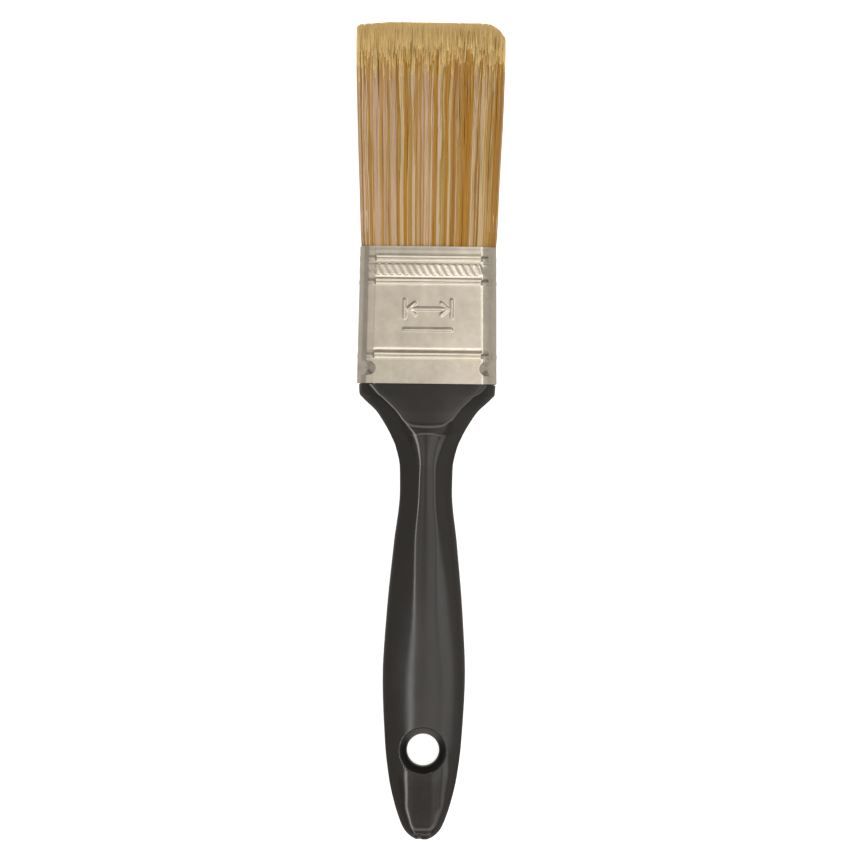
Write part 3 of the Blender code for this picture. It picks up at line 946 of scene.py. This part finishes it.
def filament_places(random, column):
    """Where a tuft's filaments stand, across the pack and outwards, and which are core ones."""
    core = np.arange(FILAMENT_COUNT) >= SKIN_FILAMENTS
    left, right = -1 + 2 * column / COLUMNS, -1 + 2 * (column + 1) / COLUMNS
    skin_places = spread(random, SKIN_FILAMENTS, left, right)
    core_places = spread(random, CORE_FILAMENTS, left, right)
    share = np.concatenate([skin_places, core_places])
    core_depths = random.uniform(*CORE_DEPTHS, FILAMENT_COUNT)
    skin_depths = random.uniform(*SKIN_DEPTHS, FILAMENT_COUNT)
    depth = np.where(core, core_depths, skin_depths)
    if column in (0, COLUMNS - 1):
        side = 1 if column else -1
        on_side = core & (random.random(FILAMENT_COUNT) < SIDE_CHANCE)
        share = np.where(on_side, side * random.uniform(*SIDE_PLACES, FILAMENT_COUNT), share)
    return share, depth, core


def filament_shades(random, strand):
    """Whether each filament is pale, and its shade: most are like the strand they are in."""
    pale = strand["pale"] ^ (random.random(FILAMENT_COUNT) < STRAY_CHANCE)
    mixed = [SHADE_NAMES.index(random.choice(PALE if is_pale else GOLDEN)) for is_pale in pale]
    keeps = (random.random(FILAMENT_COUNT) < SHADE_KEPT) & (pale == strand["pale"])
    return pale, np.where(keeps, strand["shade"], mixed)


def filament_ends(random, share, depth, core, pale):
    """How far each filament reaches: the skin's stop short, and the core's form the chisel."""
    pale_stops = random.uniform(*SKIN_STOPS[True], FILAMENT_COUNT)
    golden_stops = random.uniform(*SKIN_STOPS[False], FILAMENT_COUNT)
    skin_stops = np.where(pale, pale_stops, golden_stops)
    core_stops = CHISEL * depth**2 + random.exponential(TIP_SCATTER, FILAMENT_COUNT)
    return TIPS - tip_line(share) - np.where(core, core_stops, skin_stops)


def filament_paths(random, strand, share, depth, core, end):
    """Each filament's rings: places across the pack, along it and above its middle."""
    y = FILAMENT_START + (end - FILAMENT_START)[:, None] * RUN
    free = np.clip((y - MOUTH) / (TIPS - MOUTH), 0, 1)
    edge_loose = 1 - (1 - EDGE_LOOSE) * smoothstep(EDGE_FROM, 1.0, np.abs(share))
    loose = (np.where(core, CORE_LOOSE, 1.0) * edge_loose)[:, None]
    turn = 2 * math.pi * (y - MOUTH) / strand["wave"][:, None] + strand["phase"][:, None]
    sway = strand["sway"][:, None] * np.sin(turn)
    phase = random.uniform(0, 2 * math.pi, FILAMENT_COUNT)[:, None]
    turns = random.uniform(*OWN_TURNS, FILAMENT_COUNT)[:, None]
    own = OWN_SWAY * np.sin(2 * math.pi * free * turns + phase)
    lean = (strand["lean"] + random.normal(0, OWN_LEAN, FILAMENT_COUNT))[:, None]
    half_width = pack_half_width(y)
    x = share[:, None] * half_width + free * (sway + own + lean) * loose
    x = np.clip(x, -half_width - EDGE_STRAY, half_width + EDGE_STRAY)
    z = depth[:, None] * pack_surface(x / half_width, y)
    lift = (strand["height"] + random.normal(0, OWN_HEIGHT, FILAMENT_COUNT))[:, None]
    z = z + free * (lift + OWN_RIPPLE * np.sin(phase + RIPPLE_TURN * free))
    return x, y, np.maximum(z, LEAST_HEIGHT)


def filament_vertices(random, x, y, z, row):
    """Points round the filaments' rings, in front of the middle plane or behind it."""
    taper = 1 - TAPER * RUN - END_TAPER * smoothstep(END_TAPER_FROM, 1.0, RUN)
    radius = ROOT_RADIUS * taper * random.uniform(*RADIUS_SPREAD, FILAMENT_COUNT)[:, None]
    radius[:, -1] = TIP_RADIUS
    first_angle = random.uniform(0, 2 * math.pi, FILAMENT_COUNT)[:, None]
    angles = first_angle + 2 * math.pi * np.arange(SIDES) / SIDES
    ring_x = x[:, :, None] + radius[:, :, None] * np.cos(angles)[:, None, :]
    ring_z = z[:, :, None] + radius[:, :, None] * np.sin(angles)[:, None, :]
    ring_y = np.broadcast_to(y[:, :, None], ring_x.shape)
    return np.stack([ring_x, ring_y, ring_z * row], axis=-1).reshape(-1, 3)


def filament_faces(row):
    """A closed tube for each filament, turned round where the points are mirrored."""
    last = (RINGS - 1) * SIDES
    caps = np.array([[3, 2, 1, 0], [last, last + 1, last + 2, last + 3]])
    pattern = np.concatenate([tube_faces(RINGS, SIDES), caps])
    faces = (np.arange(FILAMENT_COUNT) * RINGS * SIDES)[:, None, None] + pattern
    return faces.reshape(-1, SIDES)[:, ::row]


def filament_face_shades(random, y, end, core, shade):
    """The shade of each face: the filament's own, and a bright one near its tip."""
    tip_shade = SHADE_NAMES.index("tip") + (random.random(FILAMENT_COUNT) < GOLD_TIP_CHANCE)
    core_fades = random.uniform(*CORE_FADES, FILAMENT_COUNT) * MM
    skin_fades = random.uniform(*SKIN_FADES, FILAMENT_COUNT) * MM
    faded = np.where(core, core_fades, skin_fades)[:, None]
    middle = (y[:, :-1] + y[:, 1:]) / 2
    tip_shade, shade = tip_shade[:, None], shade[:, None]
    segment_shade = np.where(end[:, None] - middle < faded, tip_shade, shade)
    sides = np.repeat(segment_shade, SIDES, axis=1)
    return np.concatenate([sides, shade, tip_shade], axis=1).reshape(-1)


def filaments(random, strands, column, row):
    """Vertices, faces and face shades of one tuft's filaments."""
    share, depth, core = filament_places(random, column)
    edges = [strand["edge"] for strand in strands]
    owner = np.clip(np.searchsorted(edges, share) - 1, 0, len(strands) - 1)
    strand = {key: np.array([each[key] for each in strands])[owner] for key in strands[0]}
    pale, shade = filament_shades(random, strand)
    end = filament_ends(random, share, depth, core, pale)
    x, y, z = filament_paths(random, strand, share, depth, core, end)
    vertices = filament_vertices(random, x, y, z, row)
    return vertices, filament_faces(row), filament_face_shades(random, y, end, core, shade)


def build_filaments(materials):
    random = np.random.RandomState(FILAMENT_SEED)
    for row_name, row in (("front", 1), ("back", -1)):
        strands = strand_table(random)
        for column in range(COLUMNS):
            vertices, faces, shades = filaments(random, strands, column, row)
            node = f"tuft_{row_name}_{column + 1}"
            piece = mesh_object(
                f"filaments_{row_name}_{column + 1}", vertices, faces, materials, shades
            )
            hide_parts(node)
            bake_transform(piece)


# ---------------------------------------------------------------- hidden CAD pieces


def finish_inner_nodes(gold, pale):
    """Materials for the pieces that stay as they are in the CAD model."""
    inner = {"spacer_plug": moulded_plug(), "epoxy_setting": cured_epoxy()}
    slots = {part["node"]: part["material_slot"] for part in frame["record"]["subparts"]}
    for name, node in frame["nodes"].items():
        if name not in inner and "tuft_foot" not in name:
            continue
        material = inner.get(name) or (gold if slots[name] == "gold_filament" else pale)
        for slot in node.material_slots:
            slot.material = material


# ---------------------------------------------------------------- stage

VIEW_WIDTH = 243.2 * MM
LENS = 150.0
SENSOR = 36.0
LEAN = math.radians(0.67)  # the brush's top leans to the right in the picture
VIEW_CENTRE = Vector((1.5 * MM, -0.42 * MM, MIDDLE))
FLOOR_SIZE = 6.0
FLOOR_GAP = 0.05 * MM  # between the floor and the brush
WHITE = (1.0, 1.0, 1.0)
WARM = (1.0, 0.88, 0.8)
# In metres and watts: name, place, size, power, colour, and the piece it lights if only one.
SOFTBOXES = (
    ("left_strip", (-0.34, -0.2, 1.03), (0.125, 2.4), 3.9, WHITE, "handle_moulding"),
    ("ferrule_left_card", (-0.61, 0.03, 1.03), (0.4, 1.6), 0.6, WARM, "ferrule_sheet"),
    ("handle_right_strip", (0.62, 0.0, 0.9), (0.3, 1.3), 1.2, WHITE, "handle_moulding"),
    ("ferrule_right_card", (0.4, 0.03, 1.13), (0.1, 1.6), 0.8, WHITE, "ferrule_sheet"),
    ("overhead_fill", (0.0, 0.0, 1.6), (1.6, 1.6), 14.0, WHITE, None),
)
# Brightness of the studio against the direction's part across the brush and along it.
STUDIO_ACROSS = (
    (-0.95, 0.36),
    (-0.48, 0.38),
    (-0.20, 0.55),
    (-0.10, 0.85),
    (-0.06, 0.72),
    (-0.02, 0.45),
    (0.0, 0.45),
    (0.04, 0.95),
    (0.09, 1.15),
    (0.32, 1.05),
    (0.45, 0.46),
    (0.68, 0.44),
    (0.82, 0.5),
    (0.95, 0.4),
    (1.0, 0.5),
)
STUDIO_ALONG = (
    (-1.0, 0.3),
    (-0.85, 0.7),
    (-0.34, 0.62),
    (-0.24, 0.34),
    (-0.18, 1.2),
    (-0.09, 1.2),
    (-0.05, 1.0),
    (0.13, 1.0),
    (0.24, 0.5),
    (0.5, 0.3),
)
# Bright cards along it.
STUDIO_CARDS = (
    (-0.97, 0.0),
    (-0.91, 0.9),
    (-0.83, 0.9),
    (-0.74, 0.0),
    (-0.46, 0.0),
    (-0.40, 1.6),
    (-0.30, 1.6),
    (-0.25, 0.0),
    (0.72, 0.0),
    (0.80, 1.0),
    (0.91, 1.0),
    (0.97, 0.0),
)
# How far across it the cards, and the changes along it, reach.
CARD_REACH = ((-0.5, 0.0), (-0.35, 1.0), (0.35, 1.0), (0.5, 0.0))
ALONG_REACH = ((-0.74, 0.0), (-0.58, 1.0), (0.58, 1.0), (0.74, 0.0))
STUDIO_BELOW = 0.5  # brightness from below
HORIZON = ((-0.2, 0.0), (0.0, 1.0))  # where the one gives way to the other
STUDIO_COLOUR = (1.0, 0.95, 0.87, 1)


def add_camera():
    data = bpy.data.cameras.new("camera")
    data.lens = LENS
    data.sensor_width = SENSOR
    camera = bpy.data.objects.new("camera", data)
    bpy.context.scene.collection.objects.link(camera)
    distance = VIEW_WIDTH * LENS / SENSOR
    camera.location = VIEW_CENTRE + Vector((0, 0, distance))
    camera.rotation_euler = (0, 0, LEAN)
    bpy.context.scene.camera = camera


def add_softbox(name, place, size, power, colour):
    """A softbox turned to the brush."""
    data = bpy.data.lights.new(name, "AREA")
    data.shape = "RECTANGLE"
    data.size, data.size_y = size
    data.energy = power
    data.color = colour
    light = bpy.data.objects.new(name, data)
    light.location = place
    light.visible_camera = False
    light.rotation_euler = (0, math.atan2(place[0], place[2]), 0)
    bpy.context.scene.collection.objects.link(light)
    return light


def light_only(light, piece_name):
    """Keeps a light for one piece."""
    lit = bpy.data.collections.new(f"lit_by_{light.name}")
    lit.objects.link(bpy.data.objects[piece_name])
    light.light_linking.receiver_collection = lit


def add_stage():
    bpy.ops.mesh.primitive_plane_add(size=FLOOR_SIZE, location=(0, 0, -FLOOR_GAP))
    floor = bpy.context.object
    floor.name = "floor"
    nodes = new_material("pale_floor")
    nodes.set(Base_Color=(0.9, 0.9, 0.9, 1), Roughness=0.9)
    nodes.set(Emission_Color=(1, 1, 1, 1), Emission_Strength=0.7)
    floor.data.materials.append(nodes.material)
    floor.visible_glossy = False
    add_studio()
    for name, place, size, power, colour, piece_name in SOFTBOXES:
        light = add_softbox(name, place, size, power, colour)
        if piece_name:
            light_only(light, piece_name)
        else:
            light.visible_glossy = False
    bpy.context.scene.view_settings.view_transform = "Standard"


def add_studio():
    """Soft light from all round, brightest right of overhead, with cards near both ends."""
    world = bpy.data.worlds.new("studio")
    nodes = Nodes(world, "Background", "Generated")
    split = nodes.add("ShaderNodeSeparateXYZ")
    nodes.link(nodes.coordinates(), split.inputs["Vector"])
    x, y, z = (split.outputs[axis] for axis in "XYZ")
    across = nodes.curve(x, STUDIO_ACROSS)
    change = nodes.math("SUBTRACT", nodes.curve(y, STUDIO_ALONG), 1.0)
    change = nodes.math("MULTIPLY", change, nodes.curve(x, ALONG_REACH))
    along = nodes.math("ADD", change, 1.0)
    cards = nodes.math("MULTIPLY", nodes.curve(y, STUDIO_CARDS), nodes.curve(x, CARD_REACH))
    above = nodes.math("ADD", nodes.math("MULTIPLY", across, along), cards)
    sky = nodes.curve(z, HORIZON)
    lit = nodes.math("MULTIPLY", nodes.math("SUBTRACT", above, STUDIO_BELOW), sky)
    nodes.link(nodes.math("ADD", lit, STUDIO_BELOW), nodes.shader.inputs["Strength"])
    nodes.shader.inputs["Color"].default_value = STUDIO_COLOUR
    bpy.context.scene.world = world


def main():
    add_camera()
    build_handle(handle_plastic())
    build_ferrule(plated_steel())
    materials = [filament_material(f"filament_{name}", SHADES[name]) for name in SHADE_NAMES]
    build_filaments(materials)
    finish_inner_nodes(materials[SHADE_NAMES.index("tan")], materials[SHADE_NAMES.index("white")])
    add_stage()


main()
